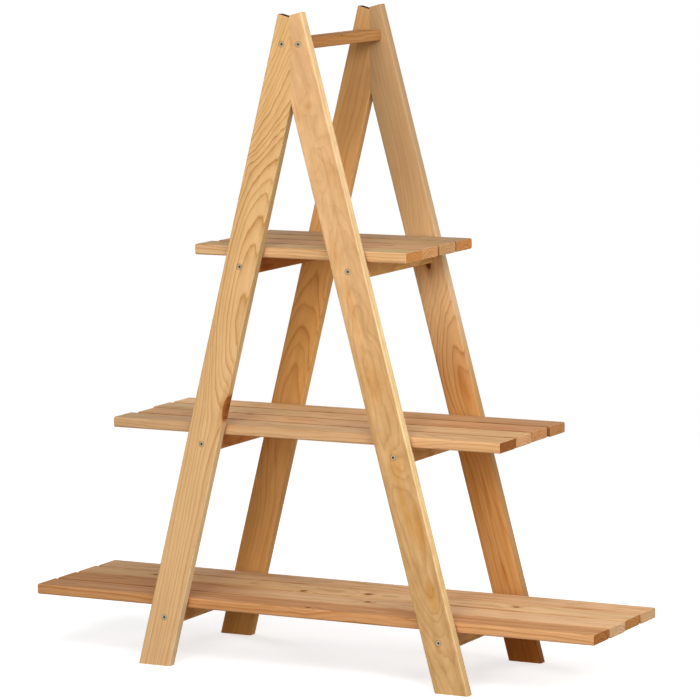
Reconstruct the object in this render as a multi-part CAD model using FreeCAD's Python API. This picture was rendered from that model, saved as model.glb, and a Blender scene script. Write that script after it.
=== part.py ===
import FreeCAD, Part
import math
import os

# Tiered plant stand. Two A-frames of planed pine boards stand one behind the other.
# Three slatted shelves and a short top rail run between them and hold them together.
# X runs along the shelves, Y from the front frame to the rear frame, Z up.
# The origin is on the floor, under the middle of the stand. All sizes are in mm.

Vector = FreeCAD.Vector

# Boards: the legs and the slats are cut from the same planed stock
board_width = 67.0
board_thickness = 20.0
leg_rounding = 3.0
slat_rounding = 4.0
end_easing = 0.7

# A-frames
leg_lean = math.radians(14.7)
foot_half_spread = 355.0
left_leg_length = 1300.0
right_leg_length = 1304.0
stand_depth = 338.0

# Shelves, from the floor up: height of the top face, half the longest slat, and how far
# each slat, front to rear, stops short of that at its left and at its right end
shelf_depth = 284.0
slats_per_shelf = 4
shelves = {
    "lower": {
        "top": 132.0,
        "half_length": 600.0,
        "left_short": (0, 2, 4, 7),
        "right_short": (1, 0, 3, 2),
    },
    "middle": {
        "top": 475.0,
        "half_length": 416.0,
        "left_short": (0, 10, 2, 5),
        "right_short": (4, 5, 7, 4),
    },
    "upper": {
        "top": 818.0,
        "half_length": 227.0,
        "left_short": (0, 9, 6, 7),
        "right_short": (4, 8, 7, 8),
    },
}

# Battens that carry the slats, and the flat rail under the tips of the frames
batten_side = 32.0
batten_rounding = 3.0
rail_width = 50.0
rail_thickness = 20.0
rail_rounding = 2.5
rail_centre_height = 1201.5
rail_screw_spacing = 35.0

# Countersunk wood screws: through each leg, and up through each batten into the slats
frame_screw = {"length": 50.0, "radius": 2.5, "head_radius": 5.0, "smooth_shank": 20.0}
slat_screw = {"length": 45.0, "radius": 2.0, "head_radius": 4.0, "smooth_shank": 18.0}
head_rim = 0.5
head_sink = 0.3
thread_pitch = 2.5
thread_depth = 0.7
thread_groove_start = 0.15
thread_groove_end = 0.7
tip_length = 5.0
recess_depth_ratio = 0.5
recess_width_ratio = 0.22
recess_span_ratio = 1.05
recess_turn_step = 37

# How straight and how flat an edge must be to be picked for rounding or easing
parallel_limit = 0.999
flat_limit = 0.01

# Worked out from the above
inside_half_depth = stand_depth / 2 - board_thickness
board_width_level = board_width / math.cos(leg_lean)
slat_pitch = (shelf_depth - board_width) / (slats_per_shelf - 1)
side_sign = {"left": -1, "right": 1}
face_sign = {"front": -1, "rear": 1}
leg_length = {"left": left_leg_length, "right": right_leg_length}


def along(shape, direction):
    """Edges of a shape that are straight and run along a direction."""
    found = []
    for edge in shape.Edges:
        if isinstance(edge.Curve, Part.Line):
            lean = abs(edge.tangentAt(edge.FirstParameter).dot(direction))
            if lean > parallel_limit:
                found.append(edge)
    return found


def in_plane(shape, point, normal):
    """Edges of a shape that lie in a plane."""
    found = []
    for edge in shape.Edges:
        if all(abs((sample - point).dot(normal)) < flat_limit for sample in edge.discretize(3)):
            found.append(edge)
    return found


def rounded_board(length, width, thickness, rounding):
    """Board along X with its four long edges rounded, centred on Y and Z, from x = 0."""
    board = Part.makeBox(length, width, thickness, Vector(0, -width / 2, -thickness / 2))
    return board.makeFillet(rounding, along(board, Vector(1, 0, 0)))


def eased_ends(board, length):
    """Take the sharpness off the two sawn ends of a board made by rounded_board."""
    ends = in_plane(board, Vector(0, 0, 0), Vector(1, 0, 0))
    ends += in_plane(board, Vector(length, 0, 0), Vector(1, 0, 0))
    return board.makeChamfer(end_easing, ends)


def leg_centre_x(height):
    """Distance of a leg's centre line from the middle plane, at a height."""
    return foot_half_spread - board_width_level / 2 - height * math.tan(leg_lean)


def leg(side, face):
    """Leaning leg: sawn square at the tip, level at the floor, and mitred where the pair meets."""
    sign = side_sign[side]
    length = leg_length[side]
    foot_allowance = board_width * math.tan(leg_lean)
    board = rounded_board(length + foot_allowance, board_width, board_thickness, leg_rounding)
    tip = in_plane(board, Vector(length + foot_allowance, 0, 0), Vector(1, 0, 0))
    board = board.makeChamfer(end_easing, tip)
    board.rotate(Vector(0, 0, 0), Vector(0, 1, 0), -90)
    board.rotate(Vector(0, 0, 0), Vector(0, 0, 1), 90)
    board.translate(Vector(-sign * board_width / 2, 0, -foot_allowance))
    board.rotate(Vector(0, 0, 0), Vector(0, 1, 0), -sign * math.degrees(leg_lean))
    row = face_sign[face] * (stand_depth - board_thickness) / 2
    board.translate(Vector(sign * foot_half_spread, row, 0))
    reach = 2 * length
    kept = Part.makeBox(reach, reach, reach, Vector(0, -reach / 2, 0))
    if sign < 0:
        kept.translate(Vector(-reach, 0, 0))
    return board.common(kept)


def batten_height(shelf):
    """Height of the middle of a shelf's battens."""
    return shelf["top"] - board_thickness - batten_side / 2


def batten(shelf, side):
    """Square batten from the front leg to the rear leg, under the slats."""
    length = 2 * inside_half_depth
    piece = eased_ends(rounded_board(length, batten_side, batten_side, batten_rounding), length)
    piece.rotate(Vector(0, 0, 0), Vector(0, 0, 1), 90)
    centre = side_sign[side] * leg_centre_x(batten_height(shelf))
    piece.translate(Vector(centre, -inside_half_depth, batten_height(shelf)))
    return piece


def slat_centre_y(number):
    """Y of the middle of a slat; number 0 is at the front."""
    return -shelf_depth / 2 + board_width / 2 + number * slat_pitch


def slat(shelf, number):
    """Flat slat of a shelf; its ends stop a little unevenly, as they were sawn by hand."""
    left_end = shelf["half_length"] - shelf["left_short"][number]
    right_end = shelf["half_length"] - shelf["right_short"][number]
    length = left_end + right_end
    piece = eased_ends(rounded_board(length, board_width, board_thickness, slat_rounding), length)
    piece.translate(Vector(-left_end, slat_centre_y(number), shelf["top"] - board_thickness / 2))
    return piece


def top_rail():
    """Flat rail that joins the tips of the two A-frames."""
    length = 2 * inside_half_depth
    piece = eased_ends(rounded_board(length, rail_width, rail_thickness, rail_rounding), length)
    piece.rotate(Vector(0, 0, 0), Vector(0, 0, 1), 90)
    piece.translate(Vector(0, -inside_half_depth, rail_centre_height))
    return piece


def head_depth(size):
    """Depth of a countersunk head, from its flat top to the shank."""
    return head_rim + size["head_radius"] - size["radius"]


def screw_profile(size, threaded):
    """Half outline of a screw that points down -Z from a head at z = 0."""
    radius = size["radius"]
    head_radius = size["head_radius"]
    outline = [Vector(0, 0, 0), Vector(head_radius, 0, 0), Vector(head_radius, 0, -head_rim)]
    outline.append(Vector(radius, 0, -head_depth(size)))
    thread_end = size["length"] - tip_length
    if threaded:
        outline.append(Vector(radius, 0, -size["smooth_shank"]))
        turns = int((thread_end - size["smooth_shank"]) / thread_pitch)
        root = radius - thread_depth
        for turn in range(turns):
            start = size["smooth_shank"] + turn * thread_pitch
            outline.append(Vector(root, 0, -start - thread_groove_start * thread_pitch))
            outline.append(Vector(root, 0, -start - thread_groove_end * thread_pitch))
            outline.append(Vector(radius, 0, -start - thread_pitch))
        outline.append(Vector(root, 0, -thread_end))
    else:
        outline.append(Vector(radius, 0, -thread_end))
    outline.append(Vector(0, 0, -size["length"]))
    return Part.Face(Part.makePolygon(outline + outline[:1]))


def cross_recess(size):
    """Tapered cross-shaped recess in a screw head."""
    depth = head_depth(size) * recess_depth_ratio
    half_span = size["head_radius"] * recess_span_ratio / 2
    width = size["head_radius"] * recess_width_ratio
    arm_outline = [
        Vector(-half_span, -width / 2, head_rim),
        Vector(half_span, -width / 2, head_rim),
        Vector(half_span / 2, -width / 2, -depth),
        Vector(-half_span / 2, -width / 2, -depth),
    ]
    arm = Part.Face(Part.makePolygon(arm_outline + arm_outline[:1])).extrude(Vector(0, width, 0))
    other = arm.copy()
    other.rotate(Vector(0, 0, 0), Vector(0, 0, 1), 90)
    return arm.fuse(other)


def revolved(profile):
    """Solid of revolution about Z."""
    return profile.revolve(Vector(0, 0, 0), Vector(0, 0, 1), 360)


def placed(shape, head_point, direction, turn):
    """Move a shape made along -Z so that it points along a direction from a point."""
    moved = shape.copy()
    moved.rotate(Vector(0, 0, 0), Vector(0, 0, 1), turn)
    aim = FreeCAD.Placement(head_point, FreeCAD.Rotation(Vector(0, 0, -1), direction))
    moved.Placement = aim.multiply(moved.Placement)
    return moved


def screw(size, head_point, direction, turn):
    """Countersunk screw with a cross recess; its thread is drawn as rings, without a lead."""
    body = revolved(screw_profile(size, True)).cut(cross_recess(size))
    return placed(body, head_point + direction * head_sink, direction, turn)


def screw_hole(size, head_point, direction):
    """Hole that a screw leaves in the wood: shank and countersink, up to the surface."""
    body = revolved(screw_profile(size, False))
    mouth = Part.makeCylinder(size["head_radius"], 2 * head_sink, Vector(0, 0, 0))
    return placed(body.fuse(mouth), head_point + direction * head_sink, direction, 0)


def recess_turn(number):
    """Angle at which the cross of a screw came to rest, different from screw to screw."""
    return (recess_turn_step * number) % 90


def shelf_frame_screw_points(shelf):
    """Head centre and direction of the screws that hold a shelf's battens to the legs."""
    height = batten_height(shelf)
    points = []
    for face in ("front", "rear"):
        for side in ("left", "right"):
            across = side_sign[side] * leg_centre_x(height)
            head = Vector(across, face_sign[face] * stand_depth / 2, height)
            points.append((head, Vector(0, -face_sign[face], 0)))
    return points


def rail_screw_points():
    """Head centre and direction of the screws that hold the top rail to the legs."""
    points = []
    for face in ("front", "rear"):
        for side in ("left", "right"):
            across = side_sign[side] * rail_screw_spacing / 2
            head = Vector(across, face_sign[face] * stand_depth / 2, rail_centre_height)
            points.append((head, Vector(0, -face_sign[face], 0)))
    return points


def slat_screw_points(shelf):
    """Head centre and direction of the screws that hold the slats down to the battens."""
    height = batten_height(shelf)
    points = []
    for side in ("left", "right"):
        across = side_sign[side] * leg_centre_x(height)
        for number in range(slats_per_shelf):
            head = Vector(across, slat_centre_y(number), height - batten_side / 2)
            points.append((head, Vector(0, 0, 1)))
    return points


def screw_group(size, points):
    """Identical screws, one separate solid each."""
    return Part.makeCompound([screw(size, *points[i], recess_turn(i)) for i in range(len(points))])


def drilled(wood, size, points):
    """Cut the holes of the screws that reach a piece of wood, as one solid."""
    for head, direction in points:
        hole = screw_hole(size, head, direction)
        if wood.BoundBox.intersect(hole.BoundBox):
            wood = wood.cut(hole)
    return wood.Solids[0]


def build():
    """Every piece of the stand, by node name."""
    frame_points = []
    slat_points = []
    pieces = {}
    for name, shelf in shelves.items():
        frame_points += shelf_frame_screw_points(shelf)
        slat_points += slat_screw_points(shelf)
        pieces[name + "_shelf_frame_screws"] = screw_group(frame_screw, shelf_frame_screw_points(shelf))
        pieces[name + "_shelf_slat_screws"] = screw_group(slat_screw, slat_screw_points(shelf))
    frame_points += rail_screw_points()
    pieces["top_rail_screws"] = screw_group(frame_screw, rail_screw_points())
    pieces["top_rail"] = drilled(top_rail(), frame_screw, frame_points)
    for face in ("front", "rear"):
        for side in ("left", "right"):
            pieces[face + "_" + side + "_leg"] = drilled(leg(side, face), frame_screw, frame_points)
    for name, shelf in shelves.items():
        for side in ("left", "right"):
            carrier = drilled(batten(shelf, side), frame_screw, frame_points)
            pieces[name + "_" + side + "_batten"] = drilled(carrier, slat_screw, slat_points)
        for number in range(slats_per_shelf):
            node = name + "_shelf_slat_" + str(number + 1)
            pieces[node] = drilled(slat(shelf, number), slat_screw, slat_points)
    return pieces


os.makedirs("parts", exist_ok=True)
for node, shape in build().items():
    shape.exportStep("parts/" + node + ".step")
    volume = round(shape.Volume / 1000, 1)
    print(node, len(shape.Solids), "solid(s)", shape.isValid(), volume, "cm3", shape.BoundBox)
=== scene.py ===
import math

import bmesh
import bpy
from mathutils import Euler, Matrix, Vector


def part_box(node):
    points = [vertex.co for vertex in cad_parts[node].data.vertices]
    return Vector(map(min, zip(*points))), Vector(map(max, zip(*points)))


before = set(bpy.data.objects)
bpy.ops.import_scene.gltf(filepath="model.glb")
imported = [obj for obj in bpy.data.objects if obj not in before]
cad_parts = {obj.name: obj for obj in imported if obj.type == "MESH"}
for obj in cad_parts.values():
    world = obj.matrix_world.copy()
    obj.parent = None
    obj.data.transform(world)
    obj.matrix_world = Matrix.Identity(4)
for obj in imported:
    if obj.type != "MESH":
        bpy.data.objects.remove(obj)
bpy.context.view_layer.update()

# ---------------------------------------------------------------------------
# Sizes, in metres unless a name says otherwise. They follow the model's own
# driving dimensions.
# ---------------------------------------------------------------------------
MM = 0.001
LEAN = math.radians(14.7)
LEG_WIDTH = 67 * MM
LEG_LENGTH = 1300 * MM
FOOT_HALF_SPREAD = 355 * MM
LEG_MIDDLE_Y = 159 * MM
SLAT_PITCH = 217 / 3 * MM
FRAME_SCREW_HEAD = 5 * MM
SLAT_SCREW_HEAD = 4 * MM

# The camera stands where the photograph was taken from
CAMERA_AT = Vector((3.5457, -6.5890, 1.6164))
CAMERA_TURN = 0.4904
CAMERA_DIP = 0.1339
CAMERA_ROLL = -0.0136
CAMERA_LENS = 203.3
CAMERA_SENSOR = 36.0
CAMERA_FAR = 100


# ---------------------------------------------------------------------------
# Camera, floor and light
# ---------------------------------------------------------------------------
def make_camera():
    forward = Vector((
        -math.sin(CAMERA_TURN) * math.cos(CAMERA_DIP),
        math.cos(CAMERA_TURN) * math.cos(CAMERA_DIP),
        -math.sin(CAMERA_DIP),
    ))
    level_right = Vector((math.cos(CAMERA_TURN), math.sin(CAMERA_TURN), 0))
    level_up = level_right.cross(forward)
    right = level_right * math.cos(CAMERA_ROLL) + level_up * math.sin(CAMERA_ROLL)
    up = right.cross(forward)
    lens = bpy.data.cameras.new("camera")
    lens.lens = CAMERA_LENS
    lens.sensor_width = CAMERA_SENSOR
    lens.clip_end = CAMERA_FAR
    camera = bpy.data.objects.new("camera", lens)
    turn = Matrix((right, up, -forward)).transposed().to_4x4()
    camera.matrix_world = Matrix.Translation(CAMERA_AT) @ turn
    bpy.context.scene.collection.objects.link(camera)
    bpy.context.scene.camera = camera


FLOOR_HALF = 40.0
FLOOR_LOOK = (0.66, 0.66, 0.66, 1)
FLOOR_BOUNCE = (0.42, 0.38, 0.35, 1)
FLOOR_GLOW = 0.66
GLOW_FROM = 1.2
GLOW_TO = 3.0
WHITE = 1.0


def make_floor():
    """White floor. It keeps the stand's soft shadow, and turns plain white away from the stand.
    Light that bounces off it onto the stand comes from a darker, warmer floor."""
    bm = bmesh.new()
    bmesh.ops.create_grid(bm, x_segments=1, y_segments=1, size=FLOOR_HALF)
    mesh = bpy.data.meshes.new("floor")
    bm.to_mesh(mesh)
    bm.free()
    floor = bpy.data.objects.new("floor", mesh)
    bpy.context.scene.collection.objects.link(floor)
    g = Material("floor")
    lit = g.node("ShaderNodeBsdfDiffuse")
    lit.inputs["Color"].default_value = FLOOR_LOOK
    glow = g.node("ShaderNodeEmission")
    glow.inputs["Strength"].default_value = FLOOR_GLOW
    near = g.node("ShaderNodeAddShader")
    g.feed(near.inputs[0], lit.outputs[0])
    g.feed(near.inputs[1], glow.outputs[0])
    far = g.node("ShaderNodeEmission")
    far.inputs["Strength"].default_value = WHITE
    here = g.node("ShaderNodeTexCoord").outputs["Object"]
    away = g.span(g.vector("LENGTH", here), GLOW_FROM, GLOW_TO)
    seen = g.blended(away, near, far)
    bounce = g.node("ShaderNodeBsdfDiffuse")
    bounce.inputs["Color"].default_value = FLOOR_BOUNCE
    g.finish(g.blended(g.seen_directly(), bounce, seen))
    mesh.materials.append(g.material)


WORLD_LIGHT = 0.12


def make_world():
    """White backdrop to the eye and in the screws, and a little even light for the stand."""
    world = bpy.data.worlds.new("studio")
    bpy.context.scene.world = world
    world.use_nodes = True
    g = Graph(world.node_tree)
    light = g.node("ShaderNodeBackground")
    light.inputs["Color"].default_value = (1, 1, 1, 1)
    light.inputs["Strength"].default_value = WORLD_LIGHT
    backdrop = g.node("ShaderNodeBackground")
    backdrop.inputs["Color"].default_value = (1, 1, 1, 1)
    backdrop.inputs["Strength"].default_value = WHITE
    out = g.node("ShaderNodeOutputWorld")
    g.feed(out.inputs["Surface"], g.blended(g.seen_directly(), light, backdrop).outputs[0])


LAMP_DISTANCE = 4.8
LAMP_SIZE = 1.8
LAMP_AIM = Vector((0, 0, 0.6))

# name, degrees from straight in front towards the right, degrees up, watts
LAMPS = (
    ("front_low_softbox", 10, 12, 98),
    ("front_high_softbox", 10, 55, 58),
    ("right_front_softbox", 46, 32, 86),
    ("right_softbox", 85, 25, 84),
    ("rear_right_softbox", 148, 10, 50),
    ("rear_left_softbox", 245, 10, 88),
)


def make_lamps():
    for name, turn, rise, watts in LAMPS:
        turn = math.radians(turn)
        rise = math.radians(rise)
        away = Vector((
            math.cos(rise) * math.sin(turn),
            -math.cos(rise) * math.cos(turn),
            math.sin(rise),
        ))
        lamp = bpy.data.lights.new(name, "AREA")
        lamp.shape = "SQUARE"
        lamp.size = LAMP_SIZE
        lamp.energy = watts
        holder = bpy.data.objects.new(name, lamp)
        facing = (-away).to_track_quat("-Z", "Y").to_matrix().to_4x4()
        holder.matrix_world = Matrix.Translation(LAMP_AIM + away * LAMP_DISTANCE) @ facing
        bpy.context.scene.collection.objects.link(holder)


# ---------------------------------------------------------------------------
# Materials
# ---------------------------------------------------------------------------
def colour(red, green, blue):
    """Linear colour from the usual 0 to 255 scale."""
    def linear(level):
        share = level / 255
        return share / 12.92 if share <= 0.04045 else ((share + 0.055) / 1.055) ** 2.4
    return (linear(red), linear(green), linear(blue), 1)


class Graph:
    """Short way to write nodes."""

    def __init__(self, tree):
        self.tree = tree
        self.tree.nodes.clear()

    def node(self, kind, **settings):
        made = self.tree.nodes.new(kind)
        for key, value in settings.items():
            setattr(made, key, value)
        return made

    def feed(self, socket, value):
        if isinstance(value, bpy.types.NodeSocket):
            self.tree.links.new(value, socket)
        else:
            socket.default_value = value

    def math(self, operation, *values, clamp=False):
        made = self.node("ShaderNodeMath", operation=operation, use_clamp=clamp)
        for socket, value in zip(made.inputs, values):
            self.feed(socket, value)
        return made.outputs[0]

    def vector(self, operation, *values):
        made = self.node("ShaderNodeVectorMath", operation=operation)
        for socket, value in zip(made.inputs, values):
            self.feed(socket, value)
        number = operation in ("LENGTH", "DOT_PRODUCT")
        return made.outputs["Value" if number else "Vector"]

    def scaled(self, vector, factors):
        return self.vector("MULTIPLY", vector, factors)

    def split(self, vector):
        made = self.node("ShaderNodeSeparateXYZ")
        self.feed(made.inputs[0], vector)
        return made.outputs[0:3]

    def joined(self, x, y, z):
        made = self.node("ShaderNodeCombineXYZ")
        for socket, value in zip(made.inputs, (x, y, z)):
            self.feed(socket, value)
        return made.outputs[0]

    def noise(self, vector, stretch, detail, roughness, vectors=False):
        """Soft noise; stretch is how many patches fit in a metre along, across and through."""
        made = self.node("ShaderNodeTexNoise")
        self.feed(made.inputs["Vector"], self.scaled(vector, stretch))
        made.inputs["Scale"].default_value = 1.0
        made.inputs["Detail"].default_value = detail
        made.inputs["Roughness"].default_value = roughness
        if vectors:
            return self.vector("SUBTRACT", made.outputs["Color"], (0.5, 0.5, 0.5))
        return made.outputs["Fac"]

    def ramp(self, value, stops, shape="LINEAR"):
        made = self.node("ShaderNodeValToRGB")
        made.color_ramp.interpolation = shape
        elements = made.color_ramp.elements
        while len(elements) < len(stops):
            elements.new(0.5)
        for element, (place, levels) in zip(elements, stops):
            element.position = place
            element.color = (*levels, 1)
        self.feed(made.inputs["Fac"], value)
        return made.outputs["Color"]

    def steps(self, value, stops):
        return self.ramp(value, [(place, (level, level, level)) for place, level in stops])

    def span(self, value, low, high, to_low=0.0, to_high=1.0, soft=True):
        """Value from low to high made into one from to_low to to_high, and held outside them."""
        shape = "SMOOTHSTEP" if soft else "LINEAR"
        made = self.node("ShaderNodeMapRange", interpolation_type=shape)
        for socket, given in zip(made.inputs, (value, low, high, to_low, to_high)):
            self.feed(socket, given)
        return made.outputs["Result"]

    def mix(self, factor, first, second, blend="MIX"):
        made = self.node("ShaderNodeMix", data_type="RGBA", blend_type=blend, clamp_factor=True)
        self.feed(made.inputs["Factor"], factor)
        self.feed(made.inputs[6], first)
        self.feed(made.inputs[7], second)
        return made.outputs[2]

    def blended(self, factor, first, second):
        """One shader turning into another as the factor goes from 0 to 1."""
        made = self.node("ShaderNodeMixShader")
        self.feed(made.inputs[0], factor)
        self.feed(made.inputs[1], first.outputs[0])
        self.feed(made.inputs[2], second.outputs[0])
        return made

    def seen_directly(self):
        """1 for what is looked at, also in a reflection or through glass, and 0 for the light
        that falls on the stand."""
        rays = self.node("ShaderNodeLightPath")
        direct = self.math("MAXIMUM", rays.outputs["Is Camera Ray"], rays.outputs["Is Glossy Ray"])
        return self.math("MAXIMUM", direct, rays.outputs["Is Transmission Ray"])


class Material(Graph):
    """Short way to write a material's nodes."""

    def __init__(self, name):
        self.material = bpy.data.materials.new(name)
        self.material.use_nodes = True
        super().__init__(self.material.node_tree)

    def finish(self, shader):
        out = self.node("ShaderNodeOutputMaterial")
        self.feed(out.inputs["Surface"], shader.outputs[0])


# How one board of pine looks. Lengths are millimetres.
#   path     heart of the tree along the board, as (share of the board's length, distance
#            across, depth behind the face's middle, strength of the rings there)
#   ring     mean width of a year's growth
#   tones    share of the board's length, and how much red, green and blue it keeps there
#   swells   rings bent without a knot: (along, across, half length, half width, push)
#   knots    (along, across, half length, half width, push)
#   stains   streaks of darker or redder wood: (along, across, half length, half width,
#            and how much red, green and blue the wood keeps there)
#   dents    pressed wood round the screw heads, with painted shade of their countersinks:
#             (along, across)
#   edges    tones of the two long edges, low and high side, on top of the board's own
#   back     tones of the face that through runs to, on top of the board's own
#   end      how much red, green and blue the sawn ends keep
#   low_end  the same for the end where the board's length starts, when it differs
#   streaks, mottle   how much lighter or darker these can make the wood
#   flecks            how much darker these can make it
#   wander, ripple    how far the rings bend, slowly and quickly
PINE = {
    "early": (228, 182, 128),
    "late": (190, 134, 76),
    "knot": (122, 66, 28),
    "ring": 5.5,
    "path": ((0.0, 8, 34, 1.0), (1.0, -6, 40, 1.0)),
    "tones": ((0.0, 1.0, 1.0, 1.0), (1.0, 1.0, 1.0, 1.0)),
    "wander": 5.0,
    "ripple": 0.0,
    "swells": (),
    "knots": (),
    "stains": (),
    "dents_and_shade": (),
    "edges": ((), ()),
    "back": (),
    "streaks": 0.10,
    "mottle": 0.04,
    "mottle_size": 26.0,
    "flecks": 0.14,
    "end": (0.74, 0.67, 0.58),
    "low_end": (),
    "seed": 0.0,
}

# Reach of the ramps: the heart's path in millimetres, then strengths and tones
PATH_REACH = 200.0
TONE_REACH = 2.0

# Patterns in the wood: how many fit in a metre along, across and through the board, then the
# noise's detail and its roughness
SLOW_BENDS = ((4, 14, 14), 2.0, 0.5)
FINE_BENDS = ((22, 130, 130), 2.0, 0.5)
RIPPLES = ((18, 42, 42), 3.0, 0.55)
FIBRES = ((10, 720, 720), 3.0, 0.6)
STREAKS = ((2.4, 70, 70), 3.0, 0.55)
FLECKS = ((60, 800, 800), 1.0, 0.5)
PATCH_DETAIL = (3.0, 0.6)
PATCH_ALONG = 0.45

# Levels of the noise over which each of these runs from one end of its tones to the other
STREAK_NOISE = (0.25, 0.75)
FIBRE_NOISE = (0.2, 0.8)
FLECK_NOISE = (0.64, 0.78)
PATCH_NOISE = (0.3, 0.7)
FIBRE_SHADE = 0.05

# Whole width of the rings' slow bends and ripples, for each unit of wander or ripple, and of
# their fine bends. Every seed moves the patterns by one step.
WANDER_SPAN = 4
RIPPLE_SPAN = 2
FINE_SPAN = 2.2 * MM
SEED_STEP = (3.7, 1.9, 0.83)

# How fast rings pushed aside come back beyond a swell and beyond a knot
EXPONENT_BASE = 2.718
SWELL_FADE = -0.7
KNOT_FADE = -0.2
KNOT_FADE_POWER = 1.5

# One year's growth as place in the ring and level, and how years differ
YEAR = ((0.0, 0.16), (0.10, 0.0), (0.50, 0.10), (0.76, 0.45), (0.91, 1.0), (1.0, 0.16))
YEAR_UNEVENNESS = 1.1
YEARS_PER_CHANGE = 2.6
YEAR_SEED_STEP = 7.3
WEAKEST_YEAR = 0.45

# Darker wood is redder: red fades less than green does, and blue more
RED_FADE = 0.8
BLUE_FADE = 1.35

# Stains, measured in their own half sizes, with streaks that make their edge ragged
STAIN_EDGE = (-0.7, 0.3)
STAIN_RAGGED = -1.8

# Knots, measured in their own radii: the edge, the darker wood round it, and the rings inside
KNOT_EDGE = (0.75, 1.15)
KNOT_SHADE_EDGE = (1.0, 2.6)
KNOT_SHADE = 0.5
KNOT_RINGS = 2.7
KNOT_RING = ((0.0, 0.7), (0.6, 1.0), (1.0, 0.6))

# Dents round the screw heads, with painted shade of their countersinks: how much the wood keeps, and the
# edge in millimetres
DENT_AND_SHADE = (0.52, 0.44, 0.36)
DENT_AND_SHADE_EDGE = (4.5, 7.5)

# How squarely a surface has to face a side or an end to count as one, from not at all to fully
SIDE_FACING = (0.2, 0.7)
END_FACING = (0.75, 0.95)
END_RINGS = 0.6
END_RING_KEEPS = (0.66, 0.52, 0.40)

# Surface of planed wood
WOOD_ROUGHNESS = (0.58, 0.72)
SAWN_ROUGHER = 0.2
WOOD_SHINE = 0.05
RING_HEIGHT = 0.5
FIBRE_HEIGHT = 0.6
BUMP_STRENGTH = 0.3
BUMP_HEIGHT = 0.0006


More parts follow.
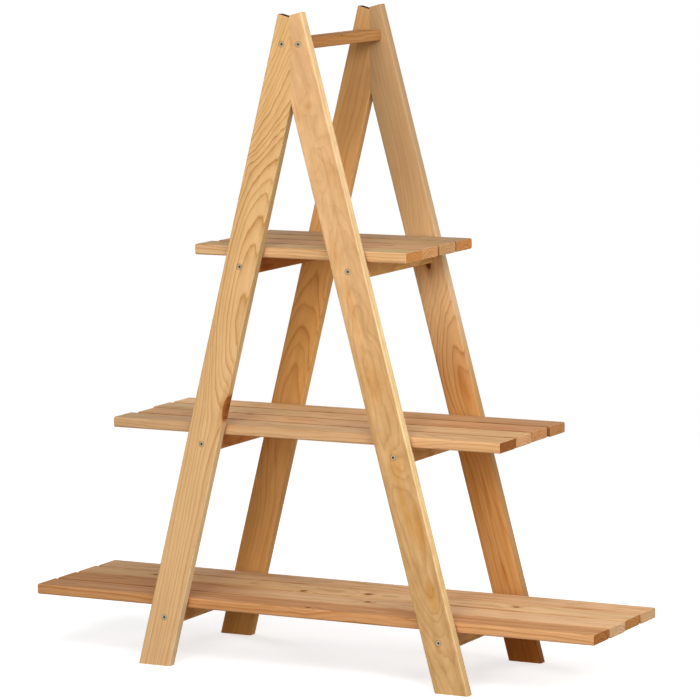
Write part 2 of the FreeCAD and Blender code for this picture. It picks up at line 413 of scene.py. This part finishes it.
class Pine(Material):
    """Planed pine for one board, grown round the heart of its tree, so that the rings on
    its faces, edges and sawn ends agree. Board space runs along, across and through."""

    def __init__(self, name, origin, turn, start, length, look):
        super().__init__(name)
        self.wood = dict(PINE, **look)
        here = self.node("ShaderNodeTexCoord")
        place = self.node("ShaderNodeMapping", vector_type="TEXTURE")
        self.feed(place.inputs["Vector"], here.outputs["Object"])
        place.inputs["Location"].default_value = origin
        place.inputs["Rotation"].default_value = turn
        self.normal = here.outputs["Normal"]
        self.lie = Euler(turn).to_matrix()
        self.board = place.outputs["Vector"]
        seed = self.wood["seed"]
        self.seeded = self.vector("ADD", self.board, [seed * step for step in SEED_STEP])
        self.share = self.span(self.split(self.board)[0], start, start + length, soft=False)
        self.slow = self.bends(SLOW_BENDS, self.wood["wander"] * WANDER_SPAN * MM)
        self.fine = self.bends(FINE_BENDS, FINE_SPAN)
        self.fibre = self.noise(self.seeded, *FIBRES)
        self.streak = self.noise(self.seeded, *STREAKS)

    def bends(self, pattern, width):
        """Sideways bends of the rings."""
        return self.scaled(self.noise(self.seeded, *pattern, vectors=True), (0, width, width))

    def from_spot(self, at, side_at, half_length, half_width, bend):
        """Offset from a spot on the board, in half lengths and half widths of that spot."""
        bent = self.vector("ADD", self.board, bend)
        away = self.vector("SUBTRACT", bent, (at * MM, side_at * MM, 0))
        return self.scaled(away, (1 / (half_length * MM), 1 / (half_width * MM), 0))

    def pushed(self, reach, fall, push):
        """Reach with the rings pushed aside, less so where fall is further below nothing."""
        return self.math("MULTIPLY_ADD", self.math("POWER", EXPONENT_BASE, fall), push * MM, reach)

    def heart(self):
        """Distance from the heart of the tree, which bends along the board, and how strongly
        the rings show."""
        stops = []
        for at, side, depth, strength in self.wood["path"]:
            levels = (0.5 + side / PATH_REACH / 2, depth / PATH_REACH, strength / TONE_REACH)
            stops.append((at, levels))
        side, depth, strength = self.split(self.ramp(self.share, stops, "B_SPLINE"))
        side = self.math("MULTIPLY_ADD", side, 2 * PATH_REACH * MM, -PATH_REACH * MM)
        depth = self.math("MULTIPLY", depth, PATH_REACH * MM)
        across, through = self.split(self.board)[1:3]
        across = self.math("SUBTRACT", across, side)
        through = self.math("SUBTRACT", through, depth)
        offset = self.vector("ADD", self.joined(0.0, across, through), self.slow)
        offset = self.vector("ADD", offset, self.fine)
        if self.wood["ripple"]:
            ripples = self.bends(RIPPLES, self.wood["ripple"] * RIPPLE_SPAN * MM)
            offset = self.vector("ADD", offset, ripples)
        return self.vector("LENGTH", offset), self.math("MULTIPLY", strength, TONE_REACH)

    def round_swells(self, reach):
        for at, side_at, half_length, half_width, push in self.wood["swells"]:
            away = self.from_spot(at, side_at, half_length, half_width, self.slow)
            fall = self.math("MULTIPLY", self.vector("DOT_PRODUCT", away, away), SWELL_FADE)
            reach = self.pushed(reach, fall, push)
        return reach

    def round_knots(self, reach):
        """Reach bent round the knots, and how near each knot is, in its own radii."""
        cores = []
        for at, side_at, half_length, half_width, push in self.wood["knots"]:
            bend = self.scaled(self.fine, (0, 1, 0))
            near = self.vector("LENGTH", self.from_spot(at, side_at, half_length, half_width, bend))
            fall = self.math("MULTIPLY", self.math("POWER", near, KNOT_FADE_POWER), KNOT_FADE)
            reach = self.pushed(reach, fall, push)
            cores.append(near)
        return reach, cores

    def summer_wood(self, reach, strength):
        """Yearly rings: pale spring wood, at 0, darkening to a sharp line of summer wood."""
        ring = self.wood["ring"] * MM
        seed = self.wood["seed"]
        years = self.node("ShaderNodeTexNoise", noise_dimensions="1D")
        years.inputs["Scale"].default_value = 1.0
        change = 1 / (YEARS_PER_CHANGE * ring)
        self.feed(years.inputs["W"], self.math("MULTIPLY_ADD", reach, change, seed * YEAR_SEED_STEP))
        turns = self.math("DIVIDE", reach, ring)
        turns = self.math("MULTIPLY_ADD", years.outputs["Fac"], YEAR_UNEVENNESS, turns)
        year = self.node("ShaderNodeTexWhiteNoise", noise_dimensions="1D")
        self.feed(year.inputs["W"], self.math("ADD", self.math("FLOOR", turns), seed))
        vigour = self.span(year.outputs["Value"], 0, 1, WEAKEST_YEAR, 1.0, soft=False)
        band = self.steps(self.math("FRACT", turns), YEAR)
        return self.math("MULTIPLY", self.math("MULTIPLY", band, vigour), strength, clamp=True)

    def varied(self, noise, limits, amount):
        """Level that runs from 1 less an amount to 1 and the amount more, as the noise runs
        through its limits."""
        return self.span(noise, *limits, 1 - amount, 1 + amount, soft=False)

    def unevenness(self):
        """How much red, green and blue the wood keeps in its fibres, streaks, flecks and
        patches."""
        wood = self.wood
        patches = 1000 / wood["mottle_size"]
        stretch = (patches * PATCH_ALONG, patches, patches)
        patch = self.noise(self.seeded, stretch, *PATCH_DETAIL)
        fleck = self.noise(self.seeded, *FLECKS)
        level = self.varied(self.streak, STREAK_NOISE, wood["streaks"])
        level = self.math("MULTIPLY", level, self.varied(self.fibre, FIBRE_NOISE, FIBRE_SHADE))
        level = self.math("MULTIPLY", level, self.span(fleck, *FLECK_NOISE, 1.0, 1 - wood["flecks"]))
        level = self.math("MULTIPLY", level, self.varied(patch, PATCH_NOISE, wood["mottle"]))
        red = self.math("POWER", level, RED_FADE)
        blue = self.math("POWER", level, BLUE_FADE)
        return self.joined(red, level, blue)

    def toned(self, tint, tones):
        """Tint with how much red, green and blue it keeps along the board."""
        stops = [(at, [tone / TONE_REACH for tone in levels]) for at, *levels in tones]
        keeps = self.scaled(self.ramp(self.share, stops, "B_SPLINE"), [TONE_REACH] * 3)
        return self.scaled(tint, keeps)

    def spotted(self, tint, spot_tint, near, edge, most=1.0):
        """Tint turned into that of a spot, which fades out over its edge."""
        return self.mix(self.span(near, *edge, most, 0.0), tint, spot_tint)

    def stained(self, tint):
        for at, side_at, half_length, half_width, keeps in self.wood["stains"]:
            away = self.from_spot(at, side_at, half_length, half_width, self.slow)
            near = self.math("MULTIPLY_ADD", self.streak, STAIN_RAGGED, self.vector("LENGTH", away))
            tint = self.spotted(tint, self.scaled(tint, keeps), near, STAIN_EDGE)
        return tint

    def dented(self, tint):
        # pressed wood with painted shade of the countersink round each screw head
        for at, side_at in self.wood["dents_and_shade"]:
            near = self.vector("LENGTH", self.from_spot(at, side_at, 1, 1, (0, 0, 0)))
            tint = self.spotted(tint, self.scaled(tint, DENT_AND_SHADE), near, DENT_AND_SHADE_EDGE)
        return tint

    def knotted(self, tint, cores):
        """Tint with each knot's own dark rings, and darker wood round it."""
        late = colour(*self.wood["late"])
        for near in cores:
            tint = self.spotted(tint, late, near, KNOT_SHADE_EDGE, KNOT_SHADE)
            turns = self.math("MULTIPLY", near, KNOT_RINGS)
            rings = self.steps(self.math("FRACT", turns), KNOT_RING)
            dark = self.mix(1.0, colour(*self.wood["knot"]), rings, "MULTIPLY")
            tint = self.spotted(tint, dark, near, KNOT_EDGE)
        return tint

    def facing(self, along, across, through):
        """How squarely the surface faces a direction of the board: 1 fully, -1 the other way."""
        return self.vector("DOT_PRODUCT", self.normal, self.lie @ Vector((along, across, through)))

    def edged(self, tint):
        """Tint with the tones of the long edges and of the back."""
        sides = [((0, way, 0), tones) for way, tones in zip((-1, 1), self.wood["edges"])]
        sides.append(((0, 0, 1), self.wood["back"]))
        for way, tones in sides:
            if tones:
                is_side = self.span(self.facing(*way), *SIDE_FACING)
                tint = self.mix(is_side, tint, self.toned(tint, tones))
        return tint

    def sawn(self, tint, latewood):
        """Tint with the sawn ends' own tones and their plainer rings."""
        ends = ((-1, self.wood["low_end"] or self.wood["end"]), (1, self.wood["end"]))
        for way, keeps in ends:
            is_end = self.span(self.facing(way, 0, 0), *END_FACING)
            cut = self.scaled(tint, keeps)
            rings = self.math("MULTIPLY", latewood, END_RINGS)
            cut = self.mix(rings, cut, self.scaled(cut, END_RING_KEEPS))
            tint = self.mix(is_end, tint, cut)
        return tint

    def planed(self, tint, latewood):
        """Shader of the finished surface, rougher where it is sawn."""
        height = self.math("MULTIPLY", latewood, RING_HEIGHT)
        height = self.math("ADD", height, self.math("MULTIPLY", self.fibre, FIBRE_HEIGHT))
        bump = self.node("ShaderNodeBump")
        bump.inputs["Strength"].default_value = BUMP_STRENGTH
        bump.inputs["Distance"].default_value = BUMP_HEIGHT
        self.feed(bump.inputs["Height"], height)
        is_end = self.span(self.math("ABSOLUTE", self.facing(1, 0, 0)), *END_FACING)
        rough = self.span(self.fibre, *FIBRE_NOISE, *WOOD_ROUGHNESS, soft=False)
        shader = self.node("ShaderNodeBsdfPrincipled")
        self.feed(shader.inputs["Base Color"], tint)
        self.feed(shader.inputs["Roughness"], self.math("MULTIPLY_ADD", is_end, SAWN_ROUGHER, rough))
        self.feed(shader.inputs["Normal"], bump.outputs[0])
        shader.inputs["Specular IOR Level"].default_value = WOOD_SHINE
        return shader


def pine(name, origin, turn, start, length, look):
    """Material of one board of pine."""
    board = Pine(name, origin, turn, start, length, look)
    reach, strength = board.heart()
    reach, cores = board.round_knots(board.round_swells(reach))
    latewood = board.summer_wood(reach, strength)
    tint = board.mix(latewood, colour(*board.wood["early"]), colour(*board.wood["late"]))
    tint = board.scaled(tint, board.unevenness())
    tint = board.toned(tint, board.wood["tones"])
    tint = board.knotted(board.dented(board.stained(tint)), cores)
    tint = board.sawn(board.edged(tint), latewood)
    board.finish(board.planed(tint, latewood))
    return board.material


# Colour of the painted shade in the screws' hollows and over the middle of their heads
RECESS_SHADE = (20, 15, 11)
DULL_PLATE = (122, 108, 88)
BRIGHT_PLATE = (212, 196, 168)
PLATE_CLOUDS = ((900, 900, 900), 3.0, 0.6)
PLATE_NOISE = (0.2, 0.8)
PLATE_ROUGHNESS = (0.35, 0.55)

# Painted shade fades out between these distances from a head's middle, drawn in by up to its spread
# where the plate is bright, and lies in hollows no wider than a crevice
RECESS_SHADE_EDGE = (2.3 * MM, 3.8 * MM)
RECESS_SHADE_SPREAD = 1.2 * MM
CREVICE = 1.2 * MM
CREVICE_OPEN = (0.70, 0.98)
BARE_METAL = (0.2, 0.8)


def screw_steel(name, head, upright):
    """Zinc-plated screw steel, with painted shade in the cross, the thread and the middle of each head.
    Head is
    the middle of one head: the others mirror it from side to side, and upright screws have one to a slat
    as well."""
    g = Material(name)
    here = g.node("ShaderNodeTexCoord").outputs["Object"]
    x, y, z = g.split(here)
    off_x = g.math("SUBTRACT", g.math("ABSOLUTE", x), head.x)
    if upright:
        pair = g.math("SUBTRACT", g.math("ABSOLUTE", y), SLAT_PITCH)
        other = g.math("SUBTRACT", g.math("ABSOLUTE", pair), SLAT_PITCH / 2)
    else:
        other = g.math("SUBTRACT", z, head.z)
    reach = g.vector("LENGTH", g.joined(off_x, other, 0.0))
    cloud = g.noise(here, *PLATE_CLOUDS)
    # Painted shade: dark where ambient occlusion finds a hollow, and near the head's middle
    hollow = g.node("ShaderNodeAmbientOcclusion", only_local=True, samples=8)
    hollow.inputs["Distance"].default_value = CREVICE
    spread = g.math("MULTIPLY_ADD", cloud, RECESS_SHADE_SPREAD, reach)
    unshaded = g.span(hollow.outputs["AO"], *CREVICE_OPEN)
    unshaded = g.math("MULTIPLY", unshaded, g.span(spread, *RECESS_SHADE_EDGE))
    plate = g.mix(cloud, colour(*DULL_PLATE), colour(*BRIGHT_PLATE))
    shader = g.node("ShaderNodeBsdfPrincipled")
    g.feed(shader.inputs["Base Color"], g.mix(unshaded, colour(*RECESS_SHADE), plate))
    g.feed(shader.inputs["Metallic"], g.span(unshaded, *BARE_METAL))
    g.feed(shader.inputs["Roughness"], g.span(cloud, *PLATE_NOISE, *PLATE_ROUGHNESS))
    g.finish(shader)
    return g.material


# ---------------------------------------------------------------------------
# Each board's own wood
# ---------------------------------------------------------------------------
LEG_TIP = (0.10, 0.07, 0.05)
LEG_FOOT = (0.58, 0.50, 0.42)
# Painted shade in the gaps between slats: how much the edges that face a gap keep
GAP_PAINTED_SHADE = {
    "lower": (0.78, 0.70, 0.62),
    "middle": (0.58, 0.47, 0.38),
    "upper": (0.70, 0.60, 0.52),
}
LEG_LOOKS = {
    "front_left_leg": {
        "seed": 1.0,
        "ring": 5.2,
        "path": (
            (0.0, 62, 40, 0.75), (0.40, 62, 38, 0.9), (0.50, 40, 20, 1.1), (0.60, 24, 28, 1.1),
            (0.68, 20, 35, 1.2), (0.76, 22, 47, 1.3), (0.86, 52, 66, 1.2), (1.0, 100, 70, 0.8),
        ),
        "swells": ((1010, -36, 24, 16, -9),),
        "tones": ((0.0, 0.98, 1.04, 1.12), (0.5, 0.95, 0.98, 0.96), (1.0, 0.89, 0.91, 0.84)),
        "knot": (158, 90, 40),
        "knots": ((545, 36, 30, 7.5, 16),),
        "edges": ((), (
            (0.0, 1.07, 1.24, 1.5), (0.35, 1.0, 1.1, 1.25), (0.6, 0.82, 0.9, 0.9), (1.0, 0.82, 0.92, 1.05),
        )),
        "end": LEG_TIP,
        "low_end": LEG_FOOT,
        "wander": 3.0,
    },
    "front_right_leg": {
        "seed": 2.0,
        "ring": 5.6,
        "path": (
            (0.0, 24, 60, 0.50), (0.10, 12, 44, 0.55), (0.20, 4, 30, 0.58), (0.28, 2, 25, 0.46),
            (0.36, 4, 27, 0.54), (0.44, 2, 30, 0.62), (0.52, 0, 27, 0.54), (0.60, 2, 40, 0.4),
            (0.72, 8, 62, 0.35), (0.85, 0, 66, 0.35), (1.0, -4, 70, 0.35),
        ),
        "tones": (
            (0.0, 0.79, 0.79, 0.74), (0.45, 0.80, 0.79, 0.72),
            (0.6, 0.89, 0.88, 0.89), (1.0, 0.89, 0.90, 0.94),
        ),
        "swells": (
            (447, 9, 34, 18, 15), (1132, 3, 16, 12, 9), (1080, 12, 20, 12, 7),
            (1000, -8, 24, 12, 7), (196, 8, 44, 20, -9), (700, 12, 22, 14, 7),
        ),
        "stains": (
            (325, 17, 60, 12, (0.90, 0.76, 0.54)), (362, 0, 80, 8, (0.93, 0.82, 0.62)),
            (195, 10, 34, 14, (0.92, 0.80, 0.58)), (450, 5, 30, 18, (0.97, 0.90, 0.78)),
            (605, 2, 36, 22, (0.97, 0.89, 0.78)), (750, -10, 60, 9, (0.95, 0.87, 0.76)),
            (860, -20, 40, 7, (0.95, 0.87, 0.76)), (1125, -22, 20, 6, (0.92, 0.84, 0.72)),
            (1132, 3, 14, 12, (0.92, 0.84, 0.72)), (1000, 17, 30, 9, (0.95, 0.88, 0.80)),
            (930, -6, 30, 10, (1.03, 1.05, 1.10)), (1060, -12, 34, 9, (1.03, 1.05, 1.10)),
        ),
        "streaks": 0.17,
        "mottle": 0.11,
        "mottle_size": 18.0,
        # The right edge is paler than the front face, most at about mid height: partly the wood's own
        # paler edge, partly painted light from the right
        "edges": ((), (
            (0.0, 1.0, 1.05, 1.15), (0.45, 1.34, 1.7, 2.0), (0.6, 1.14, 1.36, 1.6), (1.0, 1.05, 1.14, 1.2),
        )),
        "end": LEG_TIP,
        "low_end": LEG_FOOT,
        "wander": 4.0,
        "ripple": 2.5,
    },
    "rear_left_leg": {
        "seed": 3.0,
        "early": (230, 177, 107),
        "late": (190, 124, 62),
        "path": (
            (0.0, 40, 30, 0.45), (0.12, 38, 28, 0.5), (0.22, 42, 34, 0.5), (0.30, 24, 28, 0.7),
            (0.40, 4, 30, 0.85), (0.52, 2, 50, 0.8), (0.60, 0, 62, 0.7), (0.75, 40, 56, 0.5),
            (1.0, 44, 60, 0.5),
        ),
        # The front face is lighter between the shelves and darker towards the top: partly the board's own
        # tone, partly painted light and shade; back takes much of it off the rear face
        "tones": (
            (0.0, 1.05, 0.87, 0.66), (0.12, 0.90, 0.88, 0.92), (0.36, 0.86, 0.85, 0.86),
            (0.5, 1.15, 1.12, 1.02), (0.62, 1.0, 0.95, 0.95), (0.85, 0.85, 0.83, 0.92),
            (1.0, 0.72, 0.72, 0.86),
        ),
        "edges": ((), ((0.0, 0.95, 1.0, 1.1), (1.0, 0.95, 1.0, 1.1))),
        "back": (
            (0.0, 0.9, 1.02, 1.2), (0.12, 1.04, 1.04, 1.0), (0.5, 0.86, 0.86, 0.9),
            (0.62, 0.95, 0.97, 0.95), (0.85, 1.08, 1.1, 1.0), (1.0, 1.2, 1.2, 1.0),
        ),
        "end": LEG_TIP,
        "low_end": LEG_FOOT,
        "wander": 4.0,
    },
    "rear_right_leg": {
        "seed": 4.0,
        "late": (176, 112, 58),
        "path": (
            (0.0, 44, 40, 0.45), (0.30, 40, 36, 0.5), (0.42, 16, 30, 0.9), (0.50, 18, 44, 0.8),
            (0.58, 60, 60, 0.5), (0.75, 80, 70, 0.35), (1.0, 70, 80, 0.35),
        ),
        # The front face is darkest at the foot under the lower shelf, lighter between the shelves and
        # darker towards the top: partly the board's own tone, partly painted light and shade; back takes
        # much of it off the rear face
        "tones": (
            (0.0, 0.66, 0.36, 0.12), (0.08, 0.72, 0.45, 0.20), (0.12, 0.88, 0.78, 0.62),
            (0.22, 0.88, 0.75, 0.54), (0.34, 0.88, 0.72, 0.44), (0.42, 0.78, 0.66, 0.50),
            (0.48, 0.86, 0.78, 0.66), (0.56, 1.05, 1.12, 1.2), (0.62, 0.9, 0.93, 0.96),
            (0.75, 0.62, 0.62, 0.62), (1.0, 0.60, 0.62, 0.64),
        ),
        "stains": (
            (560, 15, 52, 11, (0.86, 0.70, 0.54)), (335, 3, 62, 5, (0.80, 0.66, 0.52)),
            (350, -19, 90, 6, (0.88, 0.78, 0.66)), (185, 3, 40, 7, (0.84, 0.70, 0.55)),
            (275, 23, 110, 6, (0.90, 0.80, 0.70)),
        ),
        "knots": ((801, 1, 15, 6, 10),),
        "edges": ((), (
            (0.0, 0.62, 0.69, 0.84), (0.3, 0.72, 0.77, 0.90),
            (0.45, 0.91, 1.06, 1.34), (1.0, 0.9, 0.86, 0.84),
        )),
        "back": (
            (0.0, 1.3, 1.9, 2.0), (0.08, 1.2, 1.7, 2.0), (0.12, 1.02, 1.1, 1.25), (0.34, 1.02, 1.15, 1.6),
            (0.48, 1.0, 1.08, 1.15), (0.56, 0.88, 0.80, 0.72), (0.62, 1.0, 0.95, 0.88),
            (0.75, 1.42, 1.38, 1.32), (1.0, 1.46, 1.38, 1.3),
        ),
        "end": LEG_TIP,
        "low_end": LEG_FOOT,
    },
}
SLATS = 4
SLAT_LOOKS = {
    # The lower shelf's slats are darker towards their left ends: partly the boards' own tone, partly
    # painted shade
    "lower_shelf_slat_1": {
        "path": ((0.0, 4, 26, 1.0), (0.35, -4, 38, 1.0), (0.7, 8, 26, 1.0), (1.0, 2, 40, 1.0)),
        "tones": ((0.0, 0.60, 0.51, 0.49), (0.5, 0.66, 0.57, 0.53), (1.0, 0.77, 0.67, 0.65)),
        "end": (0.69, 0.53, 0.35),
        "knots": ((0, 22, 7, 4.5, 8),),
        "stains": (
            (-120, 4, 90, 8, (0.90, 0.78, 0.66)), (260, -8, 120, 7, (0.92, 0.80, 0.68)),
            (-400, -10, 120, 12, (1.0, 1.02, 1.12)),
        ),
        "front_edge": ((0.0, 1.22, 1.20, 1.12), (0.5, 1.22, 1.12, 1.0), (1.0, 1.22, 1.30, 1.38)),
    },
    "lower_shelf_slat_2": {
        "path": ((0.0, -6, 30, 1.0), (0.5, 4, 46, 0.9), (1.0, -4, 34, 0.9)),
        "tones": (
            (0.0, 0.55, 0.44, 0.38), (0.3, 0.62, 0.51, 0.46),
            (0.42, 0.84, 0.92, 1.13), (1.0, 1.01, 1.04, 1.23),
        ),
        "end": (0.88, 0.91, 0.97),
        "knots": ((77, 0, 8, 6, 8),),
        "stains": ((-200, 10, 130, 9, (1.06, 1.10, 1.18)), (-330, -22, 150, 8, (0.84, 0.74, 0.64))),
    },
    "lower_shelf_slat_3": {
        "path": ((0.0, 8, 44, 0.9), (0.4, -2, 30, 1.0), (1.0, 6, 50, 0.9)),
        "tones": (
            (0.0, 0.72, 0.70, 0.74), (0.3, 0.78, 0.80, 0.84),
            (0.5, 1.03, 1.11, 1.22), (1.0, 0.94, 1.0, 1.17),
        ),
        "end": (0.65, 0.46, 0.28),
        "knots": ((-87, 26, 8, 6, 8), (43, 4, 8, 6.5, 8), (-436, 0, 7, 5, 8), (357, 0, 7, 5, 7)),
        "stains": ((250, 31, 130, 5, (0.80, 0.70, 0.62)), (-300, 24, 170, 10, (0.88, 0.78, 0.70))),
    },
    "lower_shelf_slat_4": {
        "path": ((0.0, -4, 34, 0.9), (0.6, 6, 54, 0.9), (1.0, 2, 38, 0.9)),
        "tones": (
            (0.0, 0.80, 0.80, 0.95), (0.3, 0.84, 0.87, 1.03),
            (0.5, 1.06, 1.12, 1.30), (1.0, 0.94, 0.92, 1.07),
        ),
        "end": (0.87, 0.93, 0.92),
        "stains": ((-250, -8, 110, 10, (0.92, 0.86, 0.80)),),
    },
    "middle_shelf_slat_1": {
        "path": ((0.0, 6, 30, 0.9), (0.5, -4, 44, 1.0), (1.0, 4, 26, 1.0)),
        "tones": ((0.0, 0.70, 0.73, 0.86), (0.5, 0.84, 0.93, 1.13), (1.0, 0.87, 0.86, 0.91)),
        "end": (0.46, 0.27, 0.14),
        "stains": ((-120, 10, 110, 8, (0.96, 0.88, 0.78)), (160, -4, 80, 7, (0.95, 0.88, 0.80))),
        "front_edge": ((0.0, 1.08, 1.02, 0.94), (1.0, 1.06, 1.0, 0.94)),
    },
    "middle_shelf_slat_2": {
        "path": ((0.0, -6, 40, 0.9), (0.5, 4, 26, 1.0), (1.0, -2, 44, 0.9)),
        "tones": ((0.0, 0.81, 0.76, 0.80), (0.5, 0.93, 0.98, 1.17), (1.0, 0.88, 0.89, 0.92)),
        "end": (0.97, 0.88, 0.90),
        "knots": ((-190, -28, 9, 4, 6),),
        "stains": ((-74, 0, 60, 15, (0.98, 0.88, 0.72)), (250, 2, 80, 13, (1.02, 1.06, 1.10))),
    },
    "middle_shelf_slat_3": {
        "path": ((0.0, 4, 30, 1.0), (0.5, -4, 40, 1.0), (1.0, 6, 28, 1.1)),
        "tones": (
            (0.0, 0.88, 1.05, 1.26), (0.6, 1.04, 1.06, 1.14),
            (0.8, 0.78, 0.68, 0.70), (1.0, 0.74, 0.62, 0.66),
        ),
        "end": (1.0, 0.98, 0.86),
        "stains": (
            (-370, 26, 60, 8, (0.74, 0.60, 0.46)), (-190, 18, 50, 6, (0.76, 0.62, 0.48)),
            (210, 24, 150, 6, (0.78, 0.64, 0.50)), (342, 10, 40, 13, (0.97, 0.82, 0.74)),
        ),
    },
    "middle_shelf_slat_4": {
        "path": ((0.0, -4, 40, 0.9), (0.5, 6, 30, 1.0), (1.0, 0, 44, 1.0)),
        "tones": (
            (0.0, 1.18, 1.24, 1.42), (0.5, 1.02, 1.04, 1.12),
            (0.8, 0.69, 0.62, 0.63), (1.0, 0.64, 0.57, 0.59),
        ),
        "end": (0.98, 0.88, 0.71),
        "stains": ((-300, -18, 90, 8, (0.86, 0.74, 0.66)), (100, 20, 130, 7, (0.88, 0.78, 0.70))),
    },
    "upper_shelf_slat_1": {
        "path": ((0.0, 8, 26, 1.0), (0.6, -2, 38, 1.0), (1.0, 6, 28, 1.0)),
        "tones": ((0.0, 0.76, 0.85, 0.95), (1.0, 0.75, 0.85, 0.95)),
        "end": (0.98, 0.65, 0.39),
        "front_edge": ((0.0, 1.18, 1.10, 1.07), (1.0, 1.19, 1.06, 0.98)),
    },
    "upper_shelf_slat_2": {
        "path": ((0.0, -6, 38, 0.9), (0.5, 2, 26, 1.0), (1.0, -2, 36, 1.0)),
        "tones": ((0.0, 0.80, 0.79, 0.92), (1.0, 0.80, 0.77, 0.92)),
        "end": (1.03, 0.93, 0.71),
        "stains": ((60, 4, 90, 8, (0.90, 0.78, 0.70)),),
    },
    "upper_shelf_slat_3": {
        "path": ((0.0, 4, 26, 1.0), (0.5, -6, 40, 0.9), (1.0, 2, 28, 1.0)),
        "tones": ((0.0, 0.74, 0.77, 0.85), (1.0, 0.73, 0.75, 0.82)),
        "end": (1.01, 0.94, 0.83),
        "stains": ((-40, -10, 70, 8, (0.90, 0.80, 0.72)),),
    },
    "upper_shelf_slat_4": {
        "path": ((0.0, -2, 36, 0.9), (0.5, 6, 24, 1.0), (1.0, -6, 38, 1.0)),
        "tones": ((0.0, 0.62, 0.65, 0.80), (1.0, 0.62, 0.65, 0.80)),
        "end": (1.14, 0.80, 0.43),
    },
}
# How much each batten keeps: partly its own tone, partly painted light and shade, lighter on the lower
# battens and darker on the left battens under the shelves
BATTEN_TONES_LIGHT_AND_SHADE = {
    "lower_left_batten": (1.20, 1.10, 0.88),
    "lower_right_batten": (1.20, 1.16, 1.06),
    "middle_left_batten": (0.90, 0.67, 0.43),
    "middle_right_batten": (0.97, 0.93, 0.80),
    "upper_left_batten": (0.57, 0.34, 0.11),
    "upper_right_batten": (1.06, 1.0, 0.76),
}
BATTEN_RING = 4.0
SHELF_SEEDS_AFTER = 10.0
RAIL_LOOK = {
    "seed": 50.0,
    "ring": 4.0,
    "streaks": 0.20,
    "path": ((0.0, 30, 20, 1.1), (0.6, 24, 34, 1.1), (1.0, 30, 24, 1.1)),
    "tones": ((0.0, 0.50, 0.37, 0.23), (0.5, 0.52, 0.39, 0.25), (1.0, 0.59, 0.48, 0.35)),
}
LEG_SCREWS = (
    "lower_shelf_frame_screws",
    "middle_shelf_frame_screws",
    "upper_shelf_frame_screws",
    "top_rail_screws",
)


def dress(node, material):
    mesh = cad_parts[node].data
    mesh.materials.clear()
    mesh.materials.append(material)


def middle(node):
    low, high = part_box(node)
    return (low + high) / 2


def turned(along, across):
    """Turn of a board whose length and width run along two given directions."""
    return Matrix((along, across, along.cross(across))).transposed().to_euler()


def leg_wood(node, side, row):
    """Leg's wood: along runs up from the foot, across to the right, and through to the rear."""
    up = Vector((-side * math.sin(LEAN), 0, math.cos(LEAN)))
    right = Vector((math.cos(LEAN), 0, side * math.sin(LEAN)))
    inwards = LEG_WIDTH / 2
    foot = Vector((
        side * (FOOT_HALF_SPREAD - inwards * math.cos(LEAN)),
        row * LEG_MIDDLE_Y,
        -inwards * math.sin(LEAN),
    ))
    # where the pressed wood and painted countersink shade go round each frame screw
    dents_and_shade = []
    for screws in LEG_SCREWS:
        low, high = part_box(screws)
        head = Vector((side * (high.x - FRAME_SCREW_HEAD), foot.y, (low.z + high.z) / 2)) - foot
        dents_and_shade.append((head.dot(up) / MM, head.dot(right) / MM))
    look = dict(LEG_LOOKS[node], dents_and_shade=dents_and_shade)
    return pine(node, foot, turned(up, right), 0.0, LEG_LENGTH, look)


def dress_legs():
    for row_name, row in (("front", -1), ("rear", 1)):
        for side_name, side in (("left", -1), ("right", 1)):
            node = row_name + "_" + side_name + "_leg"
            dress(node, leg_wood(node, side, row))


def slat_wood(node, number, seed):
    """Slat's wood: along runs to the right, across to the front, and through down. Its edges
    that face a gap are darker than the shelf's outer edges, with painted shade from the gap."""
    low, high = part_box(node)
    size = high - low
    look = dict(SLAT_LOOKS[node], seed=seed)
    # painted shade on the edges that face a gap
    gap = tuple((at, *GAP_PAINTED_SHADE[node.split("_")[0]]) for at in (0.0, 1.0))
    look["edges"] = (gap if number < SLATS else (), look.pop("front_edge", gap))
    lie = turned(Vector((1, 0, 0)), Vector((0, -1, 0)))
    return pine(node, middle(node), lie, -size.x / 2, size.x, look)


def cross_wood(node, look):
    """Wood of a piece from front to rear: along to the rear, across down, through to the left."""
    low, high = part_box(node)
    size = high - low
    lie = turned(Vector((0, 1, 0)), Vector((0, 0, -1)))
    return pine(node, middle(node), lie, -size.y / 2, size.y, look)


def dress_shelves():
    seed = SHELF_SEEDS_AFTER
    for shelf in ("lower", "middle", "upper"):
        for number in range(1, SLATS + 1):
            seed += 1.0
            node = shelf + "_shelf_slat_" + str(number)
            dress(node, slat_wood(node, number, seed))
        for side in ("left", "right"):
            seed += 1.0
            node = shelf + "_" + side + "_batten"
            # batten tones that carry painted light and shade
            tones = tuple((at, *BATTEN_TONES_LIGHT_AND_SHADE[node]) for at in (0.0, 1.0))
            dress(node, cross_wood(node, {"seed": seed, "ring": BATTEN_RING, "tones": tones}))
    dress("top_rail", cross_wood("top_rail", RAIL_LOOK))


def dress_screws():
    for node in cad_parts:
        if node.endswith("screws"):
            upright = node.endswith("slat_screws")
            head = middle(node)
            head.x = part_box(node)[1].x - (SLAT_SCREW_HEAD if upright else FRAME_SCREW_HEAD)
            dress(node, screw_steel(node + "_steel", head, upright))


make_camera()
make_floor()
make_world()
make_lamps()
dress_legs()
dress_shelves()
dress_screws()

bpy.context.scene.view_settings.view_transform = "Standard"
